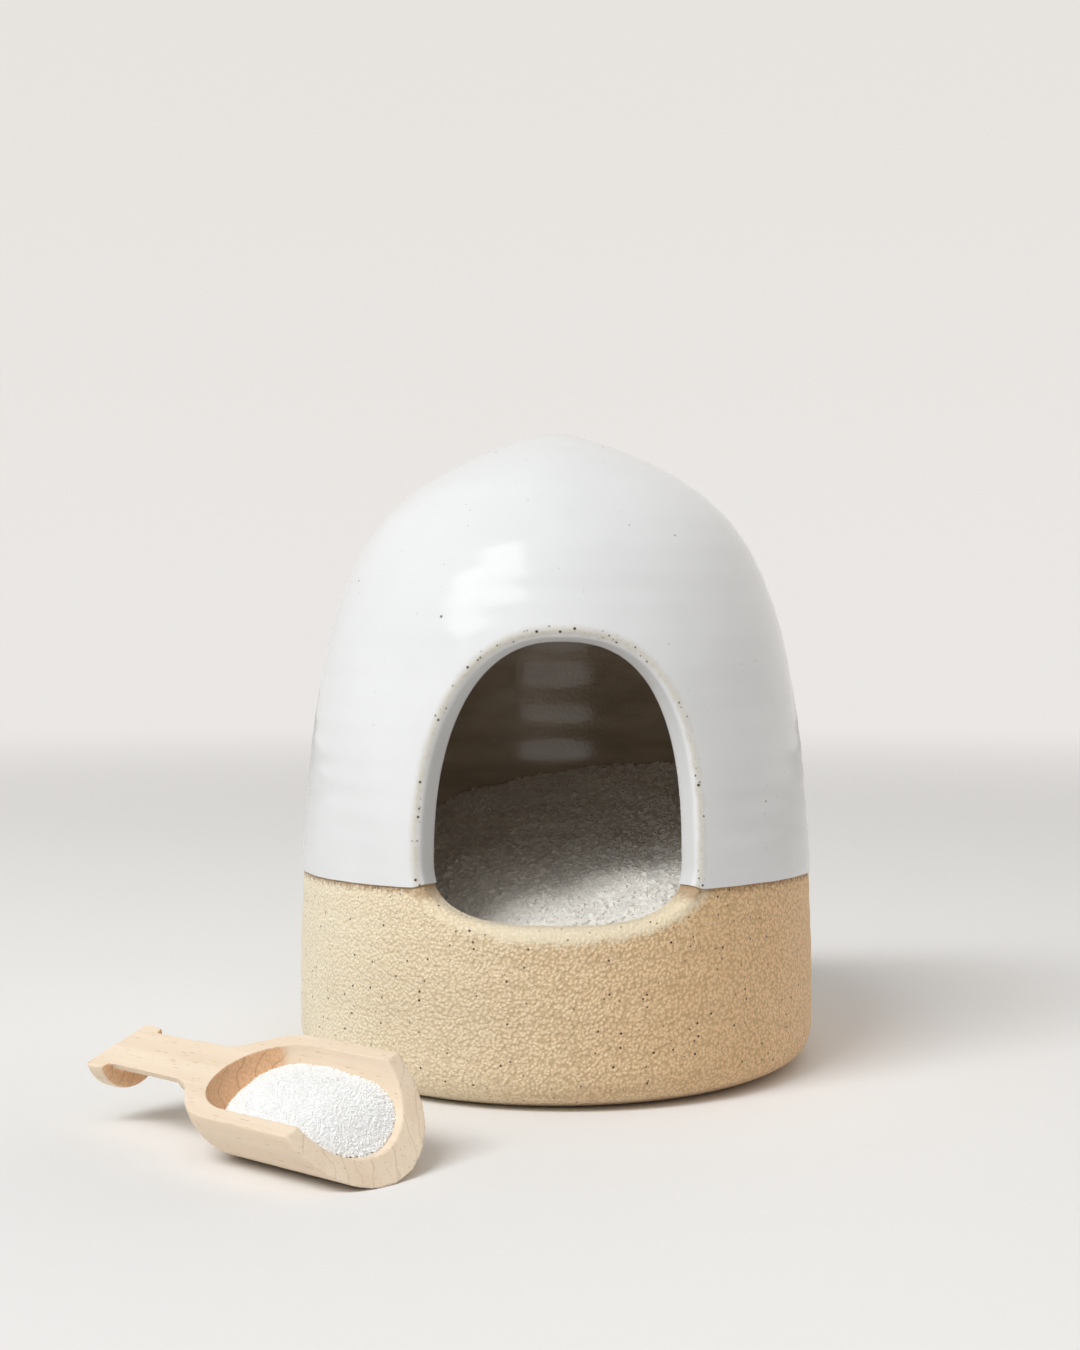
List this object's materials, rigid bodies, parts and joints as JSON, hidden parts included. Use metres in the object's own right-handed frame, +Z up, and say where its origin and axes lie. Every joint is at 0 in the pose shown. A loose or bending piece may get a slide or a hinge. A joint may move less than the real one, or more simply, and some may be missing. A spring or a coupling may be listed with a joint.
{
  "type": "salt cellar",
  "caption": "Domed stoneware salt cellar, white glazed over a raw clay base, with an arched mouth, a fill of coarse salt and a small turned beech scoop.",
  "frame": {"origin": "centre of the pot's flat base, on the surface that it stands on", "axes": "+Z up along the pot's turning axis, -Y out through the arched mouth, +X to the right of someone who faces the mouth"},
  "size_m": [0.148, 0.1657, 0.139],
  "materials": {
    "raw_clay": "unglazed sandy buff stoneware, matt and grainy, with fine dark iron specks",
    "white_glaze": "glossy white glaze with fine iron specks, thin and tan where it breaks over the arch's edge",
    "liner_glaze": "glossy clear liner over brown stoneware",
    "salt": "coarse white salt crystals",
    "beech": "bare pale beech with short flecks, darker on the end grain"
  },
  "bodies": {
    "cellar": {"stoneware_body": "raw_clay", "dome_glaze": "white_glaze", "arch_glaze": "white_glaze", "liner_glaze": "liner_glaze", "salt_bed": "salt"},
    "scoop": {"wooden_scoop": "beech", "scoop_salt": "salt"}
  },
  "joints": [
    {"name": "scoop_lift", "type": "slide", "parent": "cellar", "child": "scoop", "axis": [0, 0, 1], "range_m": [0, 0.15]}
  ]
}
